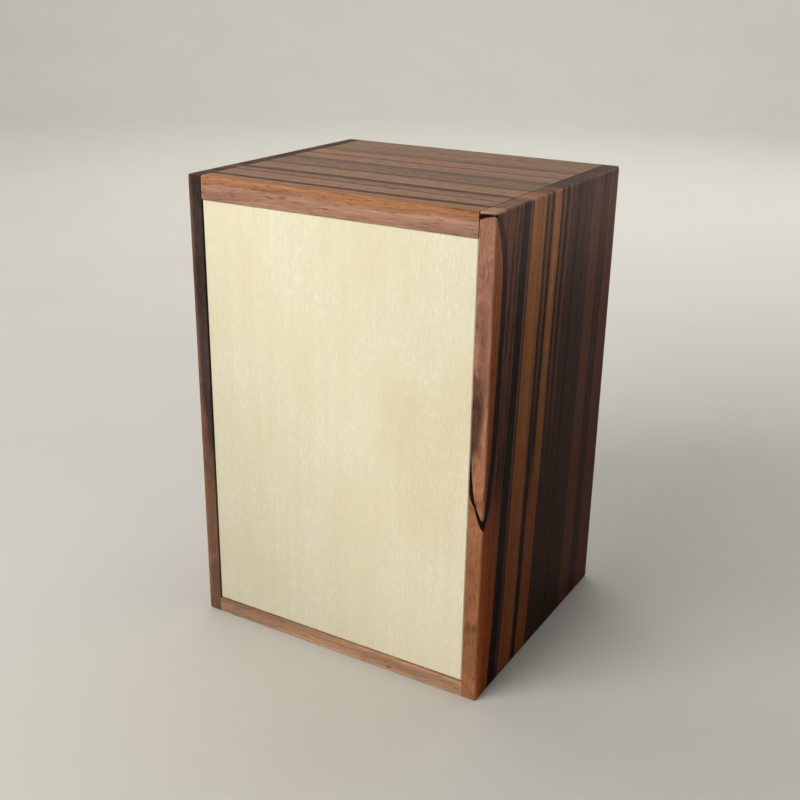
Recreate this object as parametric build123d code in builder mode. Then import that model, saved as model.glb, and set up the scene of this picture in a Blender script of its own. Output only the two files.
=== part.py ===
"""Small upright wooden puzzle box, 55 x 48 x 80 mm.

Four striped hardwood walls stand round a tall drawer like a sleeve. The left and right walls run the
full height, and the top and bottom walls sit between them. The drawer's pale front fills the frame
that their front edges make, and has nothing to grip. The box opens in two moves, standing upright:
the top wall slides back on two hidden tongues and bares a finger notch, and a fingertip in the notch
pushes the drawer forward. Two loose brass pins ride in the drawer's rear corners. Tipped over, they
run up into the lock plate above them and hold the drawer.

Millimetres. The origin is the middle of the base. +Z is up, the pale front faces -Y, +X is right.
"""

import os

from build123d import *

os.makedirs("parts", exist_ok=True)

# ---------------------------------------------------------------- driving dimensions
box_width = 55.0
box_depth = 48.0
box_height = 80.0

# Sleeve
side_thickness = 2.6
top_thickness = 3.8
bottom_thickness = 2.8
back_thickness = 3.4
lock_plate_thickness = 2.6
edge_radius = 0.4  # sanded outer edges
panel_recess = 0.2  # pale panels lie this far inside the walls' front and back edges
housing_depth = 0.8  # how far the lock plate is let into each side wall

# Gaps
running_gap = 0.15  # beside a face that slides
rear_gap = 0.3  # behind the closed drawer
glue_gap = 0.05  # round a strip or peg glued into its groove

# Top wall's tongues, and the splines that join the bottom wall
strip_thickness = 1.1
strip_width = 2.3
tongue_setback = 7.0  # from the front edge to the tongue
groove_land = 3.8  # solid wall left behind the side wall's groove
notch_show = 0.2  # how far the open top wall stops behind the finger notch
spline_setback = 6.0

# Drawer
front_thickness = 3.6
drawer_side_thickness = 2.4
drawer_back_thickness = 2.4
floor_thickness = 3.0
rabbet_depth = 1.2
drawer_grip = 10.0  # length that stays in the sleeve when the drawer is fully out
arris = 0.15  # broken edge round the pale front

# Finger rail, behind the drawer's front
rail_drop = 4.5  # below the tops of the drawer's sides
notch_length = 20.0
notch_width = 6.0
notch_land = 1.0  # wood left before and behind the notch
notch_depth = 4.6
notch_round = 1.2

# Gravity pins, their blocks and caps
block_size = 8.0
block_height = 14.0
cap_thickness = 1.4
pin_collar_radius = 2.1
pin_collar_length = 6.0
pin_shank_radius = 1.3
pin_tip_depth = 0.3  # tip below the drawer's top edge when the pin is down
pin_headroom = 0.25  # tip below the lock plate's upper face when the pin is up
pin_chamfer = 0.35
pin_clearance = 0.2
pin_lift_gap = 0.15  # left between collar and cap when the pin is up
mortise_clearance = 0.5

# Stop peg in the bottom wall
peg_radius = 1.5
peg_sink = 0.3  # its foot is this far inside the base
peg_clearance = 0.2  # beside the peg in its groove
peg_headroom = 0.35  # above the peg in its groove
peg_groove_depth = 1.5
peg_groove_land = 1.0  # floor left ahead of the groove

# Magnets that hold the drawer home
magnet_radius = 3.0
magnet_thickness = 1.6
magnet_clearance = 0.1
magnet_height = 40.0

# ---------------------------------------------------------------- places worked out from them
front_plane = -box_depth / 2
back_plane = box_depth / 2
inner_half = box_width / 2 - side_thickness
top_underside = box_height - top_thickness

panel_front = front_plane + panel_recess
back_panel_front = back_plane - panel_recess - back_thickness
sleeve_ceiling = top_underside - running_gap  # tops of the back panel, lock plate, front and rail

drawer_half = inner_half - running_gap
drawer_inner_half = drawer_half - drawer_side_thickness
drawer_base = bottom_thickness + running_gap
drawer_top = sleeve_ceiling - lock_plate_thickness - running_gap
front_rear_face = panel_front + front_thickness
drawer_rear = back_panel_front - rear_gap
drawer_back_front = drawer_rear - drawer_back_thickness
drawer_travel = drawer_rear - panel_front - drawer_grip
floor_top = drawer_base + floor_thickness
rabbet_half = drawer_half - rabbet_depth  # half width of what sits in the sides' rabbets
joint_depth = drawer_side_thickness - rabbet_depth  # front of the sides, let into the drawer's front

rail_depth = notch_width + 2 * notch_land
rail_rear = front_rear_face + rail_depth
lock_plate_front = rail_rear + running_gap
top_travel = rail_rear - notch_land + notch_show - front_plane

tongue_front = front_plane + tongue_setback
tongue_rear = back_plane - groove_land - top_travel - running_gap
tongue_height = top_underside + top_thickness / 2
strip_groove = strip_width / 2 + glue_gap  # depth of the groove that a strip is glued into

pin_x = drawer_inner_half - block_size / 2
pin_y = drawer_back_front - block_size / 2
block_top = drawer_top - cap_thickness
pin_tip = drawer_top - pin_tip_depth
pin_travel = sleeve_ceiling - pin_headroom - pin_tip
collar_top = block_top - pin_travel - pin_lift_gap
pin_foot = collar_top - pin_collar_length

peg_y = front_rear_face + peg_groove_land + peg_clearance + peg_radius
peg_top = drawer_base + peg_groove_depth - peg_headroom

SIDES = (("left", -1), ("right", 1))
FROM_LOW = (Align.MIN, Align.MIN, Align.MIN)


def board(x, y, z, mode=Mode.ADD):
    """A block in the open builder, from its (low, high) limits along each axis."""
    with Locations((min(x), min(y), min(z))):
        Box(abs(x[1] - x[0]), abs(y[1] - y[0]), abs(z[1] - z[0]), align=FROM_LOW, mode=mode)


def save(part, label):
    """Labels a finished piece and writes its STEP file."""
    part.label = label
    export_step(part, f"parts/{label}.step")


# ---------------------------------------------------------------- sleeve
for side, sign in SIDES:
    inner, outer = sign * inner_half, sign * box_width / 2

    with BuildPart() as side_wall:
        board((inner, outer), (front_plane, back_plane), (0, box_height))
        outside = side_wall.edges().filter_by(lambda e: abs(e.center().X) > inner_half + glue_gap)
        fillet(outside, edge_radius)
        # groove that the top wall's tongue runs in, closed at both ends
        board(
            (inner, inner + sign * (strip_width / 2 + running_gap)),
            (tongue_front - running_gap, back_plane - groove_land),
            (
                tongue_height - strip_thickness / 2 - running_gap,
                tongue_height + strip_thickness / 2 + running_gap,
            ),
            mode=Mode.SUBTRACT,
        )
        # housing for the lock plate
        board(
            (inner, inner + sign * housing_depth),
            (lock_plate_front, back_panel_front),
            (sleeve_ceiling - lock_plate_thickness, sleeve_ceiling),
            mode=Mode.SUBTRACT,
        )
        # groove for the bottom wall's spline
        board(
            (inner, inner + sign * strip_groove),
            (front_plane + spline_setback - glue_gap, back_plane - spline_setback + glue_gap),
            (
                bottom_thickness / 2 - strip_thickness / 2 - glue_gap,
                bottom_thickness / 2 + strip_thickness / 2 + glue_gap,
            ),
            mode=Mode.SUBTRACT,
        )
    save(side_wall.part, f"{side}_wall")

    with BuildPart() as spline:
        with Locations((inner, 0, bottom_thickness / 2)):
            Box(strip_width, box_depth - 2 * spline_setback, strip_thickness)
    save(spline.part, f"{side}_spline")

with BuildPart() as bottom_wall:
    board((-inner_half, inner_half), (front_plane, back_plane), (0, bottom_thickness))
    fillet(bottom_wall.edges().filter_by(Axis.X).group_by(Axis.Z)[0], edge_radius)
    for _, sign in SIDES:
        board(
            (sign * (inner_half - strip_groove), sign * inner_half),
            (front_plane + spline_setback - glue_gap, back_plane - spline_setback + glue_gap),
            (
                bottom_thickness / 2 - strip_thickness / 2 - glue_gap,
                bottom_thickness / 2 + strip_thickness / 2 + glue_gap,
            ),
            mode=Mode.SUBTRACT,
        )
    with Locations((0, peg_y, bottom_thickness)):
        Hole(peg_radius + glue_gap)
save(bottom_wall.part, "bottom_wall")

with BuildPart() as stop_peg:
    with Locations((0, peg_y, peg_sink)):
        Cylinder(peg_radius, peg_top - peg_sink, align=(Align.CENTER, Align.CENTER, Align.MIN))
    chamfer(stop_peg.edges().group_by(Axis.Z)[-1], pin_chamfer)
save(stop_peg.part, "drawer_stop_peg")

with BuildPart() as back_panel:
    board(
        (-inner_half, inner_half),
        (back_panel_front, back_panel_front + back_thickness),
        (bottom_thickness, sleeve_ceiling),
    )
    with Locations(Plane((0, back_panel_front, magnet_height), x_dir=(1, 0, 0), z_dir=(0, -1, 0))):
        Hole(magnet_radius + magnet_clearance, depth=magnet_thickness + magnet_clearance)
save(back_panel.part, "back_panel")

with BuildPart() as lock_plate:
    board(
        (-inner_half - housing_depth, inner_half + housing_depth),
        (lock_plate_front, back_panel_front),
        (sleeve_ceiling - lock_plate_thickness, sleeve_ceiling),
    )
    mortise = 2 * (pin_shank_radius + mortise_clearance)
    with BuildSketch(Plane.XY.offset(sleeve_ceiling)):
        with Locations((-pin_x, pin_y), (pin_x, pin_y)):
            Rectangle(mortise, mortise)
    extrude(amount=-lock_plate_thickness, mode=Mode.SUBTRACT)
save(lock_plate.part, "lock_plate")

# ---------------------------------------------------------------- sliding top wall
with BuildPart() as top_wall:
    board(
        (-drawer_half, drawer_half),
        (front_plane, back_plane),
        (top_underside, box_height),
    )
    fillet(top_wall.edges().filter_by(Axis.X).group_by(Axis.Z)[-1], edge_radius)
    for _, sign in SIDES:
        board(
            (sign * (inner_half - strip_groove), sign * inner_half),
            (tongue_front - glue_gap, tongue_rear + glue_gap),
            (
                tongue_height - strip_thickness / 2 - glue_gap,
                tongue_height + strip_thickness / 2 + glue_gap,
            ),
            mode=Mode.SUBTRACT,
        )
save(top_wall.part, "top_wall")

for side, sign in SIDES:
    with BuildPart() as tongue:
        with Locations((sign * inner_half, (tongue_front + tongue_rear) / 2, tongue_height)):
            Box(strip_width, tongue_rear - tongue_front, strip_thickness)
    save(tongue.part, f"{side}_tongue")

# ---------------------------------------------------------------- drawer
with BuildPart() as drawer_front:
    board(
        (-drawer_half, drawer_half),
        (panel_front, front_rear_face),
        (drawer_base, sleeve_ceiling),
    )
    chamfer(drawer_front.faces().sort_by(Axis.Y)[0].edges(), arris)
    for _, sign in SIDES:
        board(
            (sign * drawer_inner_half, sign * drawer_half),
            (front_rear_face - joint_depth, front_rear_face),
            (drawer_base, drawer_top),
            mode=Mode.SUBTRACT,
        )
save(drawer_front.part, "drawer_front")

for side, sign in SIDES:
    with BuildPart() as drawer_side:
        board(
            (sign * drawer_inner_half, sign * drawer_half),
            (front_rear_face - joint_depth, drawer_rear),
            (drawer_base, drawer_top),
        )
        # rabbet for the floor, then for the back
        board(
            (sign * drawer_inner_half, sign * rabbet_half),
            (front_rear_face, drawer_rear),
            (drawer_base, floor_top),
            mode=Mode.SUBTRACT,
        )
        board(
            (sign * drawer_inner_half, sign * rabbet_half),
            (drawer_back_front, drawer_rear),
            (floor_top, drawer_top),
            mode=Mode.SUBTRACT,
        )
    save(drawer_side.part, f"drawer_{side}_side")

with BuildPart() as drawer_back:
    board((-rabbet_half, rabbet_half), (drawer_back_front, drawer_rear), (floor_top, drawer_top))
    with Locations(Plane((0, drawer_rear, magnet_height), x_dir=(1, 0, 0), z_dir=(0, 1, 0))):
        Hole(magnet_radius + magnet_clearance, depth=magnet_thickness + magnet_clearance)
save(drawer_back.part, "drawer_back")

with BuildPart() as drawer_floor:
    board((-rabbet_half, rabbet_half), (front_rear_face, drawer_rear), (drawer_base, floor_top))
    # round-ended groove that the stop peg runs in
    groove_length = drawer_travel + 2 * (peg_radius + peg_clearance)
    with BuildSketch(Plane.XY.offset(drawer_base)):
        with Locations((0, peg_y + drawer_travel / 2)):
            SlotOverall(groove_length, 2 * (peg_radius + peg_clearance), rotation=90)
    extrude(amount=peg_groove_depth, mode=Mode.SUBTRACT)
save(drawer_floor.part, "drawer_floor")

with BuildPart() as finger_rail:
    # T-shaped section: the head lies on the drawer's sides, the web fits between them
    with BuildSketch(Plane.XZ.offset(-front_rear_face)):
        with BuildLine():
            Polyline(
                (-drawer_half, sleeve_ceiling),
                (drawer_half, sleeve_ceiling),
                (drawer_half, drawer_top),
                (drawer_inner_half, drawer_top),
                (drawer_inner_half, drawer_top - rail_drop),
                (-drawer_inner_half, drawer_top - rail_drop),
                (-drawer_inner_half, drawer_top),
                (-drawer_half, drawer_top),
                close=True,
            )
        make_face()
    extrude(amount=-rail_depth)
    with BuildSketch(Plane.XY.offset(sleeve_ceiling)):
        with Locations((0, (front_rear_face + rail_rear) / 2)):
            SlotOverall(notch_length, notch_width)
    extrude(amount=-notch_depth, mode=Mode.SUBTRACT)
    notch_floor = finger_rail.faces().filter_by(
        lambda f: abs(f.center().Z - (sleeve_ceiling - notch_depth)) < glue_gap
    )
    fillet(notch_floor.edges(), notch_round)
save(finger_rail.part, "finger_rail")

for side, sign in SIDES:
    with BuildPart() as pin_block:
        with Locations((sign * pin_x, pin_y, block_top - block_height / 2)):
            Box(block_size, block_size, block_height)
        with Locations((sign * pin_x, pin_y, block_top)):
            Hole(pin_collar_radius + pin_clearance, depth=block_top - pin_foot + glue_gap)
    save(pin_block.part, f"{side}_pin_block")

    with BuildPart() as pin_cap:
        with Locations((sign * pin_x, pin_y, (block_top + drawer_top) / 2)):
            Box(block_size, block_size, cap_thickness)
        with Locations((sign * pin_x, pin_y, drawer_top)):
            Hole(pin_shank_radius + pin_clearance)
    save(pin_cap.part, f"{side}_pin_cap")

    # turned pin: a heavy collar below, a slim shank above
    with BuildPart() as lock_pin:
        with BuildSketch(Plane((sign * pin_x, pin_y, 0), x_dir=(1, 0, 0), z_dir=(0, -1, 0))):
            with BuildLine():
                Polyline(
                    (0, pin_foot),
                    (pin_collar_radius - pin_chamfer, pin_foot),
                    (pin_collar_radius, pin_foot + pin_chamfer),
                    (pin_collar_radius, collar_top - pin_chamfer),
                    (pin_collar_radius - pin_chamfer, collar_top),
                    (pin_shank_radius, collar_top),
                    (pin_shank_radius, pin_tip - pin_chamfer),
                    (pin_shank_radius - pin_chamfer, pin_tip),
                    (0, pin_tip),
                    close=True,
                )
            make_face()
        revolve(axis=Axis((sign * pin_x, pin_y, 0), (0, 0, 1)))
    save(lock_pin.part, f"{side}_lock_pin")

# ---------------------------------------------------------------- magnets
for name, face, away in (
    ("back_magnet", back_panel_front, 1),
    ("drawer_magnet", drawer_rear, -1),
):
    with BuildPart() as magnet:
        middle = face + away * (magnet_clearance + magnet_thickness) / 2
        with Locations(Plane((0, middle, magnet_height), x_dir=(1, 0, 0), z_dir=(0, 1, 0))):
            Cylinder(magnet_radius, magnet_thickness)
    save(magnet.part, name)

print(f"drawer travel {drawer_travel:.2f}, top wall travel {top_travel:.2f}, pin travel {pin_travel:.2f}")
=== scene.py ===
"""Looks for the wooden puzzle box: striped hardwood walls, a pale drawer front, beech inside, brass pins.

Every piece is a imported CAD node, so this script gives each one its material and its broken edges, and
adds the floor, the lights and the camera. Wood is built in three dimensions: a board's growth layers are
a function of place, so its stripes run over its arrises and out through its end grain.
"""

import math

import bmesh
import bpy
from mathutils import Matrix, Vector


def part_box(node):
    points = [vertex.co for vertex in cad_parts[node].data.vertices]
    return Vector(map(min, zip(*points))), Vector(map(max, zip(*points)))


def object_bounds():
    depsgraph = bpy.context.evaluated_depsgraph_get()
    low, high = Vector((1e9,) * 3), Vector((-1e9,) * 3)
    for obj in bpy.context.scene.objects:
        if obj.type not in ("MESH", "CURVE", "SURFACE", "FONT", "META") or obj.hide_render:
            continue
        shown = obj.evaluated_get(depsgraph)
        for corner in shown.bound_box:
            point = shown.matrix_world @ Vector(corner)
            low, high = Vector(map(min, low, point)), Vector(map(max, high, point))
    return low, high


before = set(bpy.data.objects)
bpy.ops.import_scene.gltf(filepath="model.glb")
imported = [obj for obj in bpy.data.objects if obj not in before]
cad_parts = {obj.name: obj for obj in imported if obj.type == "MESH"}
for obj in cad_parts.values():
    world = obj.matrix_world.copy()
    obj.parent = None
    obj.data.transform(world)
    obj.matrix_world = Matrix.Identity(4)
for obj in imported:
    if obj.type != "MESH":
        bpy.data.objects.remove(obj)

MM = 0.001
cad_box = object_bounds()  # before anything is added, so this is the CAD model's box
low, high = (Vector(corner) / MM for corner in cad_box)

# ---------------------------------------------------------------- colours, as sRGB hex
TONES = {
    # stripes
    "ink": "1c110d",
    "black": "2e1c16",
    "umber": "4b2f23",
    "plum": "4a322c",
    "bark": "5a3d2e",
    "walnut": "6b4f40",
    "maroon": "774a38",
    "brown": "7c4f36",
    "tan": "ad6f41",
    "orange": "a2704d",
    "grey": "876650",
    "dun": "8b6951",
    "sand": "977157",
    "rose": "ab806a",
    "buff": "b68d70",
    # what breaks the stripes
    "soot": "3e2b26",
    "slate": "453935",
    "smoke": "5e4038",
    "russet": "6d4f40",
    "thread": "704630",
    "hazel": "85604b",
    "rust": "a2592a",
    "copper": "a06a49",
    "clay": "a3735f",
    "fawn": "a98064",
    "amber": "bb6a33",
    # painted shade: a tone that multiplies the right wall's side darker towards its foot
    "shade": "b99d80",
    # painted sheen: a pale tone that lightens and greys the right wall's side towards its top
    "painted sheen": "c8aea8",
    "white": "ffffff",
    # end grain
    "end": "8f7160",
    "brown end": "7a6152",
    "dark end": "5c493f",
    "darkest end": "54443d",
}


def colour(code):
    """Linear RGBA of an sRGB hex code or of a named tone."""
    code = TONES.get(code, code)
    channels = [int(code[i : i + 2], 16) / 255 for i in (0, 2, 4)]
    return [c / 12.92 if c <= 0.04045 else ((c + 0.055) / 1.055) ** 2.4 for c in channels] + [1.0]


# ---------------------------------------------------------------- material graphs
class Value:
    """A number in a material's graph. Arithmetic on it adds Math nodes."""

    def __init__(self, graph, socket):
        self.graph = graph
        self.socket = socket

    def __add__(self, other):
        return self.graph.math("ADD", self, other)

    def __sub__(self, other):
        return self.graph.math("SUBTRACT", self, other)

    def __rsub__(self, other):
        return self.graph.math("SUBTRACT", other, self)

    def __mul__(self, other):
        return self.graph.math("MULTIPLY", self, other)

    def __abs__(self):
        return self.graph.math("ABSOLUTE", self)

    __radd__ = __add__
    __rmul__ = __mul__


STRIPES_PER_RAMP = 15  # a colour ramp holds 32 stops, and each stripe takes two
STRIPE_EDGE = 0.14  # mm over which one stripe turns into the next


class Graph:
    """One material's node graph. Methods add nodes and return the value or colour that they make."""

    def __init__(self, name):
        self.material = bpy.data.materials.new(name)
        self.material.use_nodes = True
        self.nodes = self.material.node_tree.nodes
        self.links = self.material.node_tree.links
        self.nodes.clear()
        place = self.add("ShaderNodeTexCoord")
        scaled = self.add("ShaderNodeVectorMath", operation="SCALE")
        self.links.new(place.outputs["Object"], scaled.inputs[0])
        scaled.inputs["Scale"].default_value = 1 / MM
        self.x, self.y, self.z = self.split(scaled.outputs[0])
        self.facing = [abs(axis) for axis in self.split(place.outputs["Normal"])]

    def add(self, kind, **settings):
        node = self.nodes.new(kind)
        for key, value in settings.items():
            setattr(node, key, value)
        return node

    def feed(self, socket, value):
        if isinstance(value, Value):
            self.links.new(value.socket, socket)
        elif isinstance(value, bpy.types.NodeSocket):
            self.links.new(value, socket)
        else:
            socket.default_value = value

    def split(self, vector):
        node = self.add("ShaderNodeSeparateXYZ")
        self.feed(node.inputs[0], vector)
        return [Value(self, output) for output in node.outputs]

    def math(self, operation, *values):
        node = self.add("ShaderNodeMath", operation=operation)
        for socket, value in zip(node.inputs, values):
            self.feed(socket, value)
        return Value(self, node.outputs[0])

    def smooth(self, value, start, end, low_value=0.0, high_value=1.0):
        """Runs smoothly from low_value, where value is start, to high_value, where it is end."""
        node = self.add("ShaderNodeMapRange", interpolation_type="SMOOTHSTEP")
        for socket, given in zip(node.inputs, (value, start, end, low_value, high_value)):
            self.feed(socket, given)
        return Value(self, node.outputs[0])

    def noise(self, x, y, z, detail=2, roughness=0.5, seed=0.0):
        """Noise at a point given in cycles, from 0 to 1, about half on average."""
        joined = self.add("ShaderNodeCombineXYZ")
        for socket, value in zip(joined.inputs, (x + seed, y - seed, z + 2 * seed)):
            self.feed(socket, value)
        node = self.add("ShaderNodeTexNoise")
        self.feed(node.inputs["Vector"], joined.outputs[0])
        node.inputs["Scale"].default_value = 1.0
        node.inputs["Detail"].default_value = detail
        node.inputs["Roughness"].default_value = roughness
        return Value(self, node.outputs[0])

    def blend(self, factor, first, second, mode="MIX"):
        node = self.add("ShaderNodeMix", data_type="RGBA", blend_type=mode)
        for socket, value in ((0, factor), (6, first), (7, second)):
            self.feed(node.inputs[socket], value)
        return node.outputs[2]

    def shade(self, base, amount):
        """Multiplies a colour by a number."""
        node = self.add("ShaderNodeVectorMath", operation="SCALE")
        self.feed(node.inputs[0], base)
        self.feed(node.inputs["Scale"], amount)
        return node.outputs[0]

    def ramp(self, factor, stripes, length):
        """Colour ramp of (width, tone) stripes, whose widths add up to length."""
        node = self.add("ShaderNodeValToRGB")
        self.feed(node.inputs[0], factor)
        stops = node.color_ramp.elements
        stops.remove(stops[-1])
        at = 0.0
        for width, tone in stripes:
            soft = min(STRIPE_EDGE, width / 2.5)
            for position in (at + soft / 2, at + width - soft / 2):
                stops.new(position / length).color = colour(tone)
            at += width
        stops.remove(stops[0])
        return node.outputs[0]

    def bands(self, layer, start, stripes):
        """Colour of a layer coordinate in mm, from (width, tone) stripes that begin at start."""
        result, place = None, start
        for first in range(0, len(stripes), STRIPES_PER_RAMP):
            group = stripes[first : first + STRIPES_PER_RAMP]
            length = sum(width for width, _ in group)
            tones = self.ramp((layer - place) * (1 / length), group, length)
            if result is None:
                result = tones
            else:
                beyond = self.smooth(layer, place - STRIPE_EDGE / 2, place + STRIPE_EDGE / 2)
                result = self.blend(beyond, result, tones)
            place += length
        return result

    def bump(self, height, depth_mm):
        node = self.add("ShaderNodeBump")
        node.inputs["Strength"].default_value = 1.0
        node.inputs["Distance"].default_value = depth_mm * MM
        self.feed(node.inputs["Height"], height)
        return node.outputs[0]

    def finish(self, base, roughness, normal, **constants):
        shader = self.add("ShaderNodeBsdfPrincipled")
        self.feed(shader.inputs["Base Color"], base)
        self.feed(shader.inputs["Roughness"], roughness)
        self.feed(shader.inputs["Normal"], normal)
        for name, value in constants.items():
            shader.inputs[name.replace("_", " ")].default_value = value
        output = self.add("ShaderNodeOutputMaterial")
        self.links.new(shader.outputs[0], output.inputs[0])
        return self.material


def grain_frame(graph, along):
    """(coordinate along the grain, the two across it, how much the surface faces along the grain)."""
    axes = [graph.x, graph.y, graph.z]
    index = "XYZ".index(along)
    run = axes.pop(index)
    return run, *axes, graph.facing[index]


def worn_and_lit_arrises(graph):
    """1 on the box's outer arrises, 0 away from them."""
    sides = graph.math("SUBTRACT", high.x, abs(graph.x))
    ends = graph.math("SUBTRACT", high.y, abs(graph.y))
    caps = graph.math("MINIMUM", graph.z - low.z, high.z - graph.z)
    nearest = graph.math("MINIMUM", sides, ends)
    farther = graph.math("MAXIMUM", sides, ends)
    second = graph.math("MAXIMUM", nearest, graph.math("MINIMUM", farther, caps))
    ragged = graph.noise(graph.x * 0.5, graph.y * 0.5, graph.z * 0.5, detail=4)
    return graph.smooth(second + 0.5 * ragged, 0.35, 1.0, 1.0, 0.0)


WARM_SHEEN = (1.0, 0.8, 0.66, 1.0)
# specular levels, lowest on the side walls so that they stay deep in colour at a grazing angle
SIDE_WALL_SHEEN = 0.025
LEVEL_WALL_SHEEN = 0.12


def hardwood(name, along, layer_of, start, stripes, overlay, seed, sheen, front_end, rear_end):
    """Striped hardwood.

    layer_of gives the growth layer coordinate in mm, which stripes colour from start on. overlay paints what
    breaks the stripes, and on some walls painted sheen, highlight and shade. front_end and rear_end are the
    tones of the end grain.
    """
    graph = Graph(name)
    run, side_a, side_b, end_grain = grain_frame(graph, along)
    drift = graph.noise(run * 0.035, side_a * 0.08, side_b * 0.08, detail=3, seed=seed)
    ripple = graph.noise(run * 0.3, side_a * 0.6, side_b * 0.6, detail=4, seed=seed + 3)
    layer = layer_of(graph) + 1.3 * (drift - 0.5) + 0.34 * (ripple - 0.5)
    base = overlay(graph, graph.bands(layer, start, stripes), layer, ripple)
    # growth lines, then pores and lighter flecks drawn out along the grain, the flecks lightened partly as
    # painted glints
    lines = graph.smooth(graph.noise(layer * 2.8, run * 0.03, side_a * 0.03, 5, 0.7, seed + 5), 0.3, 0.7)
    streaks = graph.smooth(graph.noise(layer * 0.8, run * 0.02, side_b * 0.02, 3, 0.5, seed + 9), 0.3, 0.7)
    pore = graph.smooth(graph.noise(run * 0.4, side_a * 6.0, side_b * 6.0, 2, 0.5, seed + 7), 0.58, 0.68)
    fleck = graph.smooth(graph.noise(run * 0.3, side_a * 3.5, side_b * 3.5, 2, 0.5, seed + 11), 0.6, 0.72)
    hair = graph.smooth(graph.noise(layer * 4.6, run * 0.025, side_a * 0.05, 3, 0.6, seed + 13), 0.52, 0.66)
    grain = (0.72 + 0.5 * lines) * (0.87 + 0.26 * streaks) * (1 - 0.45 * pore) * (1 + 0.3 * fleck)
    grain = grain * (1 - 0.24 * hair)
    ends = graph.smooth(end_grain, 0.6, 0.95)
    worn_and_lit = worn_and_lit_arrises(graph)
    rear = graph.smooth(layer, 11, 24)
    end_tone = graph.blend(rear, colour(front_end), colour(rear_end))
    base = graph.blend(ends * (0.6 + 0.25 * rear), base, end_tone)
    # the outer arrises are lightened, partly for wear and partly as a painted highlight
    base = graph.shade(base, grain * (1 + 0.14 * worn_and_lit))
    roughness = 0.42 + 0.16 * pore + 0.12 * ends - 0.08 * worn_and_lit + 0.1 * (lines - 0.5) - 0.06 * fleck
    normal = graph.bump(0.4 * lines - pore + 0.3 * fleck, 0.035)
    return graph.finish(base, roughness, normal, Specular_IOR_Level=sheen, Specular_Tint=WARM_SHEEN)


def spot(graph, across, centre, reach, up, height, half_height):
    """1 in the middle of an upright oval, 0 outside it."""
    wide = (across - centre) * (1 / reach)
    tall = (up - height) * (1 / half_height)
    return graph.smooth(wide * wide + tall * tall, 0.1, 1.0, 1.0, 0.0)


def between(graph, layer, first, last):
    """1 where a layer coordinate lies between two others."""
    inside = graph.smooth(layer, first - 0.2, first + 0.2)
    return inside * graph.smooth(layer, last - 0.2, last + 0.2, 1.0, 0.0)


# ---------------------------------------------------------------- the four walls
def front_distance(graph):
    """mm behind the box's front."""
    return graph.y - low.y


def drop(graph):
    """mm below the box's top."""
    return high.z - graph.z


def right_layer(graph):
    """Stripes lean forwards as they fall, a little less towards the rear."""
    return front_distance(graph) + (0.063 - 0.0007 * front_distance(graph)) * drop(graph)


FRONT_ZONE = 9.0  # mm of growth before the right wall's first black stripe
LINE_LEVEL = 4.32  # of the layer that the growth line follows
TIP_DROP = 48.5  # where the growth line leaves the right wall's front arris
RIGHT = (
    (FRONT_ZONE, "maroon"), (2.5, "ink"), (0.7, "maroon"), (0.4, "umber"), (4.8, "tan"), (0.9, "black"),
    (0.9, "brown"), (1.1, "black"), (2.7, "tan"), (0.9, "black"), (1.0, "brown"), (1.2, "black"),
    (1.0, "maroon"), (1.3, "umber"), (1.6, "plum"), (0.8, "black"), (2.7, "plum"), (0.8, "umber"),
    (2.4, "plum"), (4.4, "maroon"), (3.2, "umber"), (8.0, "maroon"),
)


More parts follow.
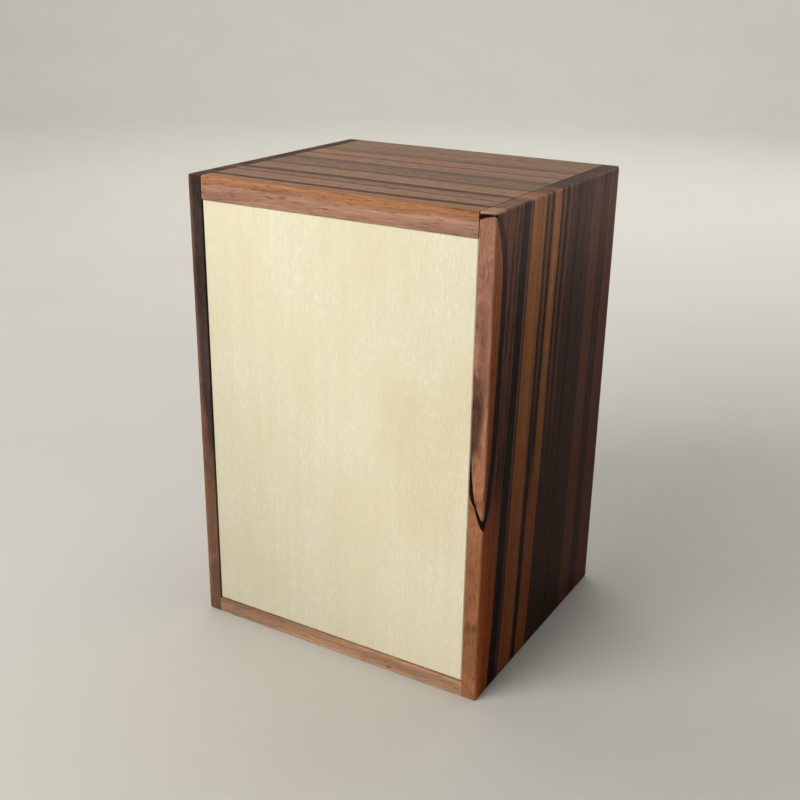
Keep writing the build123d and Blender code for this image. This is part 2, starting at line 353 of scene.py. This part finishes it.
def right_overlay(graph, base, layer, ripple):
    """The growth line that hooks over the front arris, flames behind it and redder wood before it."""
    ahead = front_distance(graph)
    fall = drop(graph)
    inward = high.x - graph.x
    # stripes that die out, widen or narrow towards the foot
    for first, last, above, below, tone in (
        (23.0, 28.0, 20, 50, "umber"), (18.0, 20.0, 20, 45, "black"), (19.1, 20.4, 38, 56, "tan"),
    ):
        faded = between(graph, layer, first, last) * graph.smooth(fall, above, below)
        base = graph.blend(faded, base, colour(tone))
    # and stripes that run together at the top of the rear
    rear = graph.smooth(layer, 33.0, 34.5)
    base = graph.blend(rear * graph.smooth(fall, 4, 32, 0.6, 0.0), base, colour("smoke"))
    # dark flames in the front zone, and plain warm wood below them
    zone = graph.smooth(layer, FRONT_ZONE - 0.3, FRONT_ZONE, 1.0, 0.0)
    flames = graph.noise(layer * 0.9 + 1.2 * ripple, fall * 0.045, ahead * 0.1, 4, 0.6, 12.0)
    base = graph.shade(base, 1 - 0.62 * zone * graph.smooth(flames, 0.44, 0.56))
    foot = graph.smooth(fall, TIP_DROP - 9, TIP_DROP + 6)
    base = graph.blend(zone * foot, base, colour("amber"))
    # painted highlight: below the tip the wood is lightened next to the front arris
    base = graph.shade(base, 1 + foot * graph.smooth(ahead, 0.8, 2.8, 0.6, 0.0))
    # The growth line's own layers cross the board's thickness, so it runs over the arris on to the
    # front edge. It curls forwards at the board's top, and hooks forwards again at its lower tip.
    curl = graph.math("EXPONENT", fall * -0.25)
    hook = graph.math("EXPONENT", 0.225 * (fall - TIP_DROP))
    level = ahead + 0.046 * fall + 4.7 * curl + 2.09 * hook
    level = level + 0.83 * inward * (1 - curl) + 0.35 * (ripple - 0.5)
    before = graph.smooth(level, LINE_LEVEL - 0.15, LINE_LEVEL + 0.1, 1.0, 0.0)
    edge_face = graph.smooth(ahead, 0.1, 0.6, 1.0, 0.0)
    base = graph.blend(before, base, colour("rust"))
    edge_tone = graph.blend(graph.smooth(fall, 14, 62), colour("clay"), colour("copper"))
    base = graph.blend(edge_face, base, edge_tone)
    swollen = ahead + 0.45 * graph.smooth(fall, TIP_DROP - 4, TIP_DROP)
    half = graph.smooth(swollen, 0.0, 1.1, 0.14, 0.8)
    half = half + graph.smooth(fall, 0.2, 2.0, 0.1, 0.0)
    half = half + 0.26 * edge_face * graph.smooth(inward, 1.5, 2.4) * graph.smooth(fall, 30, 38)
    line = graph.smooth(abs(level - LINE_LEVEL) - half, -0.08, 0.08, 1.0, 0.0)
    base = graph.blend(line, base, colour("ink"))
    # a smoky patch on the inner half of the front edge
    loose = 1.6 * (ripple - 0.5)
    smudge = spot(graph, inward + loose, 2.6, 2.3, fall + 6 * loose, 32.0, 8.5)
    streak = spot(graph, inward + loose, 1.3, 1.1, fall, 24.0, 11.0)
    base = graph.blend(edge_face * 0.85 * smudge, base, colour("soot"))
    base = graph.shade(base, 1 - 0.34 * edge_face * streak)
    # the pale front corner of the end grain
    cap = graph.smooth(fall, 0.1, 0.4, 1.0, 0.0) * graph.smooth(ahead, 2.8, 3.6, 1.0, 0.0)
    base = graph.blend(0.8 * cap, base, colour("fawn"))
    # painted sheen lightens and greys the board towards its top, and painted shade darkens and reddens it
    # downwards
    painted_top_sheen = (1 - edge_face) * graph.smooth(fall, 0, 24, 1.0, 0.0)
    base = graph.blend(0.11 * painted_top_sheen, base, colour("painted sheen"))
    base = graph.shade(base, 1 + 0.5 * painted_top_sheen)
    # painted shade: the side turns darker and redder towards its foot
    tint = graph.blend(graph.smooth(fall, 0, 62), colour("white"), colour("shade"))
    return graph.blend(1 - edge_face, base, graph.blend(1.0, base, tint, "MULTIPLY"))


def left_layer(graph):
    """Stripes lean forwards as they fall."""
    return front_distance(graph) + 0.035 * drop(graph)


LEFT = (
    (1.0, "black"), (1.1, "plum"), (3.4, "maroon"), (1.2, "black"), (2.0, "brown"), (0.8, "umber"),
    (1.6, "tan"), (0.5, "umber"), (1.1, "brown"), (1.9, "ink"), (1.0, "maroon"), (2.2, "brown"),
    (0.4, "umber"), (1.8, "sand"), (0.6, "umber"), (1.6, "brown"), (2.2, "black"), (1.2, "plum"),
    (0.6, "black"), (2.2, "umber"), (1.0, "brown"), (1.2, "ink"), (2.6, "brown"), (0.5, "umber"),
    (1.4, "sand"), (0.7, "black"), (1.6, "brown"), (3.0, "black"), (2.2, "maroon"), (0.5, "black"),
    (1.6, "maroon"), (1.0, "ink"), (7.0, "brown"),
)


def left_overlay(graph, base, layer, ripple):
    """The front edge runs from near black at its top to red-brown at its foot, and is browner outside."""
    outward = graph.x - low.x
    edge_face = graph.smooth(front_distance(graph), 0.1, 0.7, 1.0, 0.0)
    dark_limit = 36 + 14 * graph.smooth(outward, 0.6, 2.4) + 12 * (ripple - 0.5)
    lower = graph.smooth(drop(graph) - dark_limit, -5, 5)
    edge_tone = graph.blend(lower, colour("slate"), colour("russet"))
    outside = graph.smooth(outward, 0.5, 1.1, 1.0, 0.0)
    edge_tone = graph.blend(0.5 * outside, edge_tone, colour("hazel"))
    return graph.blend(edge_face, base, edge_tone)


def top_layer(graph):
    """Stripes of the top face run on down the front edge."""
    return front_distance(graph) - 0.35 * drop(graph)


TOP = (
    (1.6, "rose"), (2.9, "orange"), (1.4, "umber"), (6.5, "sand"), (1.8, "bark"), (4.9, "sand"),
    (1.4, "walnut"), (4.8, "grey"), (2.4, "walnut"), (3.9, "sand"), (1.1, "brown"), (3.8, "sand"),
    (1.4, "brown"), (2.6, "grey"), (1.6, "dun"), (1.2, "grey"), (10.0, "dun"),
)


def top_overlay(graph, base, layer, ripple):
    """A thin brown line that crosses from one stripe's edge to the next as it runs to the right."""
    offset = abs(layer + 0.03 * graph.x - 8.0)
    return graph.blend(graph.smooth(offset, 0.2, 0.5, 1.0, 0.0), base, colour("thread"))


def bottom_layer(graph):
    """Stripes of the bottom face run on up the front edge."""
    return front_distance(graph) + 0.35 * (graph.z - low.z)


BOTTOM = (
    (3.0, "buff"), (2.0, "tan"), (1.2, "ink"), (5.0, "tan"), (1.8, "umber"), (4.4, "sand"),
    (2.6, "black"), (1.4, "brown"), (6.0, "tan"), (0.9, "ink"), (4.8, "sand"), (3.0, "umber"),
    (5.0, "tan"), (1.6, "ink"), (9.0, "brown"),
)


def bottom_overlay(graph, base, layer, ripple):
    """The board is darker towards its left end."""
    # painted shade: the board is darker towards its left end
    return graph.shade(base, graph.smooth(graph.x, -22, 4, 0.68, 1.0))


WALLS = {
    "right_wall": hardwood(
        "right_wall_wood", "Z", right_layer, 0.0, RIGHT, right_overlay,
        seed=1.0, sheen=SIDE_WALL_SHEEN, front_end="end", rear_end="darkest end",
    ),
    "left_wall": hardwood(
        "left_wall_wood", "Z", left_layer, 0.0, LEFT, left_overlay,
        seed=21.0, sheen=SIDE_WALL_SHEEN, front_end="dark end", rear_end="darkest end",
    ),
    "top_wall": hardwood(
        "top_wall_wood", "X", top_layer, -2.0, TOP, top_overlay,
        seed=41.0, sheen=LEVEL_WALL_SHEEN, front_end="end", rear_end="brown end",
    ),
    "bottom_wall": hardwood(
        "bottom_wall_wood", "X", bottom_layer, 0.0, BOTTOM, bottom_overlay,
        seed=61.0, sheen=LEVEL_WALL_SHEEN, front_end="end", rear_end="brown end",
    ),
}


# ---------------------------------------------------------------- other woods and metals
def pale_wood(name, seed, cloud_x, cloud_z, lower_left_shade):
    """Fine-sanded pale wood, its grain upright: silky flecks, faint streaks and a warm cloud.

    Its silky flecks are lightened partly as painted glints.
    The last argument is how much painted shade darkens it at its lower left.
    """
    graph = Graph(name)
    streaks = graph.noise(graph.x * 0.5, graph.y * 0.5, graph.z * 0.03, 4, 0.55, seed)
    streaks = graph.smooth(streaks, 0.3, 0.7)
    patches = graph.noise(graph.x * 0.08, graph.y * 0.08, graph.z * 0.06, 3, 0.5, seed + 2)
    flecks = graph.noise(graph.x * 2.4, graph.y * 2.4, graph.z * 0.8, 3, 0.6, seed + 4)
    # silky flecks, lightened partly as painted glints
    glinting_silk = graph.smooth(flecks, 0.5, 0.68) * graph.smooth(patches, 0.42, 0.6)
    base = graph.blend(streaks, colour("e7e0c2"), colour("ebe5ca"))
    base = graph.blend(graph.smooth(patches, 0.35, 0.65, 0.25, 0.0), base, colour("e6d3aa"))
    drift = graph.noise(graph.x * 0.05, graph.y * 0.05, graph.z * 0.04, 4, 0.6, seed + 6)
    across = graph.x + 30 * (drift - 0.5)
    up = graph.z + 40 * (patches - 0.5)
    cloud = spot(graph, across, cloud_x, 11.0, up, cloud_z, 19.0)
    base = graph.blend(0.3 * cloud, base, colour("e3c8a0"))
    # painted shade: darker towards the lower left
    shaded_lower_left = graph.smooth(graph.x - low.x + 0.6 * (graph.z - low.z), 4.0, 62.0, 1.0, 0.0)
    base = graph.shade(base, (0.92 + 0.14 * flecks + 0.06 * glinting_silk) * (1 - lower_left_shade * shaded_lower_left))
    roughness = 0.5 + 0.2 * (flecks - 0.5) - 0.14 * glinting_silk
    normal = graph.bump(flecks, 0.09)
    return graph.finish(base, roughness, normal, Specular_IOR_Level=0.5)


def plain_wood(name, along, light, dark, fleck, seed):
    """Planed wood of one colour, with growth lines and short flecks along its grain."""
    graph = Graph(name)
    run, side_a, side_b, end_grain = grain_frame(graph, along)
    lines = graph.noise(run * 0.03, side_a * 0.9, side_b * 0.9, detail=5, roughness=0.65, seed=seed)
    flecks = graph.noise(run * 0.8, side_a * 4.5, side_b * 4.5, detail=1, seed=seed + 2)
    flecks = graph.smooth(flecks, 0.6, 0.68)
    base = graph.blend(graph.smooth(lines, 0.25, 0.75), colour(dark), colour(light))
    base = graph.blend(0.5 * flecks, base, colour(fleck))
    base = graph.shade(base, 1 - 0.2 * graph.smooth(end_grain, 0.6, 0.95))
    normal = graph.bump(lines - 0.6 * flecks, 0.03)
    return graph.finish(base, 0.6 + 0.12 * (lines - 0.5), normal, Specular_IOR_Level=0.35)


def turned_brass(name, axis_x, axis_y):
    """Brass off the lathe: fine rings round the pin's axis, dulled in patches."""
    graph = Graph(name)
    away_x, away_y = graph.x - axis_x, graph.y - axis_y
    radius = graph.math("SQRT", away_x * away_x + away_y * away_y)
    rings = graph.noise(radius * 7.0, graph.z * 9.0, 0.0, detail=3)
    tarnish = graph.noise(graph.x * 0.7, graph.y * 0.7, graph.z * 0.7, detail=4)
    base = graph.blend(graph.smooth(tarnish, 0.45, 0.7), colour("d9b266"), colour("9a7438"))
    normal = graph.bump(rings, 0.02)
    return graph.finish(base, 0.24 + 0.2 * tarnish, normal, Metallic=1.0)


def nickel(name):
    """Bright nickel plate with handling marks."""
    graph = Graph(name)
    marks = graph.noise(graph.x * 2.0, graph.y * 2.0, graph.z * 6.0, detail=5, roughness=0.7)
    base = graph.blend(marks, colour("cfccc4"), colour("b3afa6"))
    return graph.finish(base, 0.16 + 0.2 * marks, graph.bump(marks, 0.006), Metallic=1.0)


def sweep_finish(name):
    """Matt pale paper."""
    graph = Graph(name)
    grain = graph.noise(graph.x * 0.02, graph.y * 0.02, graph.z * 0.02, detail=5)
    base = graph.blend(grain, colour("cecbc4"), colour("c8c5bd"))
    return graph.finish(base, 0.75, graph.bump(grain, 0.05), Specular_IOR_Level=0.2)


# (light, dark, fleck) tones, and each inside piece's grain direction with its tones
BEECH = ("cfa57c", "bd8f66", "8d5f3e")
DARK = ("6a4127", "4c2c1a", "2f1a10")
INSIDE = {
    "drawer_left_side": ("Y", BEECH), "drawer_right_side": ("Y", BEECH), "drawer_back": ("X", BEECH),
    "drawer_floor": ("X", BEECH), "finger_rail": ("X", BEECH), "lock_plate": ("X", BEECH),
    "left_pin_block": ("Z", BEECH), "right_pin_block": ("Z", BEECH),
    "left_pin_cap": ("X", BEECH), "right_pin_cap": ("X", BEECH),
    "left_tongue": ("Y", DARK), "right_tongue": ("Y", DARK),
    "left_spline": ("Y", DARK), "right_spline": ("Y", DARK), "drawer_stop_peg": ("Z", DARK),
}
BROKEN_EDGES = {"wall": 0.03, "panel": 0.05, "inside": 0.1, "pin": 0.05, "magnet": 0.15}  # mm


def dress(node, material, kind):
    """Gives a CAD node its material, and breaks its sharp edges by a hair's width."""
    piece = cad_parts[node]
    piece.data.materials.clear()
    piece.data.materials.append(material)
    weld = piece.modifiers.new("weld", "WELD")
    weld.merge_threshold = 0.001 * MM
    bevel = piece.modifiers.new("broken_edges", "BEVEL")
    bevel.width = BROKEN_EDGES[kind] * MM
    bevel.segments = 2
    bevel.limit_method = "ANGLE"
    bevel.angle_limit = math.radians(50)
    bevel.harden_normals = True


for node, material in WALLS.items():
    dress(node, material, "wall")
front_wood = pale_wood("drawer_front_wood", seed=3.0, cloud_x=17.5, cloud_z=41.0, lower_left_shade=0.22)
dress("drawer_front", front_wood, "panel")
back_wood = pale_wood("back_panel_wood", seed=17.0, cloud_x=-9.0, cloud_z=52.0, lower_left_shade=0.05)
dress("back_panel", back_wood, "panel")
for number, (node, (along, tones)) in enumerate(INSIDE.items()):
    dress(node, plain_wood(f"{node}_wood", along, *tones, 5.0 + 3 * number), "inside")
for node in ("left_lock_pin", "right_lock_pin"):
    middle = sum(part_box(node), Vector()) / 2 / MM
    dress(node, turned_brass(f"{node}_brass", middle.x, middle.y), "pin")
for node in ("back_magnet", "drawer_magnet"):
    dress(node, nickel(f"{node}_nickel"), "magnet")

# ---------------------------------------------------------------- studio
INNER_RADIUS = 0.2  # metres, of the floor's first ring
FLOOR_RADIUS = 0.7  # metres, to where the floor starts to curve up
SWEEP_RADIUS = 0.35  # metres, of that curve
WALL_HEIGHT = 1.1  # metres
SWEEP_STEPS = 12
TURN_STEPS = 72
LENS_MM = 50.64
SENSOR_MM = 36.0
EYE = (93.37, -162.79, 111.42)  # mm
EYE_TURN = (68.909, -0.823, 30.533)  # degrees
DAYLIGHT = (0.95, 0.97, 1.0, 1.0)
DAYLIGHT_STRENGTH = 0.06


def sweep_profile():
    """(radius, height) pairs of the floor, the curve and the wall."""
    profile = [(INNER_RADIUS, 0.0), (FLOOR_RADIUS, 0.0)]
    for step in range(1, SWEEP_STEPS + 1):
        turn = math.pi / 2 * step / SWEEP_STEPS
        out = SWEEP_RADIUS * math.sin(turn)
        rise = SWEEP_RADIUS * (1 - math.cos(turn))
        profile.append((FLOOR_RADIUS + out, rise))
    profile.append((FLOOR_RADIUS + SWEEP_RADIUS, WALL_HEIGHT))
    return profile


def studio_sweep():
    """A pale floor that curves up into a plain wall all round, well beyond the camera."""
    mesh = bmesh.new()
    floor = low.z * MM
    centre = mesh.verts.new((0, 0, floor))
    turns = [2 * math.pi * step / TURN_STEPS for step in range(TURN_STEPS)]
    rings = []
    for radius, height in sweep_profile():
        points = [(radius * math.cos(turn), radius * math.sin(turn), floor + height) for turn in turns]
        rings.append([mesh.verts.new(point) for point in points])
    for step in range(TURN_STEPS):
        after = (step + 1) % TURN_STEPS
        mesh.faces.new((centre, rings[0][step], rings[0][after]))
        for inner, outer in zip(rings, rings[1:]):
            mesh.faces.new((inner[step], outer[step], outer[after], inner[after]))
    for face in mesh.faces:
        face.smooth = True
    data = bpy.data.meshes.new("studio_sweep")
    mesh.to_mesh(data)
    mesh.free()
    data.materials.append(sweep_finish("studio_sweep_finish"))
    sweep = bpy.data.objects.new("studio_sweep", data)
    bpy.context.scene.collection.objects.link(sweep)


def soft_light(name, place, target, size, power, tint):
    """A square soft light at a place, turned towards a target, both in metres from the base's middle."""
    light = bpy.data.lights.new(name, "AREA")
    light.size = size
    light.energy = power
    light.color = tint
    lamp = bpy.data.objects.new(name, light)
    bpy.context.scene.collection.objects.link(lamp)
    lamp.location = place
    lamp.rotation_euler = (Vector(place) - Vector(target)).to_track_quat("Z", "Y").to_euler()
    lamp.visible_camera = False


def camera():
    """Close and a little above the box, looking down on its front and right side."""
    lens = bpy.data.cameras.new("camera")
    lens.lens = LENS_MM
    lens.sensor_width = SENSOR_MM
    lens.clip_start = 0.01
    eye = bpy.data.objects.new("camera", lens)
    eye.location = Vector(EYE) * MM
    eye.rotation_euler = [math.radians(angle) for angle in EYE_TURN]
    bpy.context.scene.collection.objects.link(eye)
    bpy.context.scene.camera = eye


def daylight():
    """A faint even light from all round."""
    world = bpy.data.worlds.new("studio")
    world.use_nodes = True
    background = world.node_tree.nodes["Background"]
    background.inputs["Color"].default_value = DAYLIGHT
    background.inputs["Strength"].default_value = DAYLIGHT_STRENGTH
    bpy.context.scene.world = world


studio_sweep()
box_middle = (0, 0, high.z / 2 * MM)
soft_light("key", (-0.11, -0.27, 0.235), box_middle, 0.24, 1.12, (1.0, 0.98, 0.95))
soft_light("overhead", (0.0, 0.2, 2.2), box_middle, 2.4, 7.5, (0.97, 0.98, 1.0))
soft_light("back", (0.22, 0.55, 0.2), box_middle, 0.3, 0.4, (0.97, 0.98, 1.0))
soft_light("backdrop", (-0.12, 0.3, 0.6), (-0.5, 0.9, 0.0), 0.5, 4.4, (0.98, 0.98, 0.97))
daylight()
camera()
bpy.context.scene.view_settings.view_transform = "Standard"
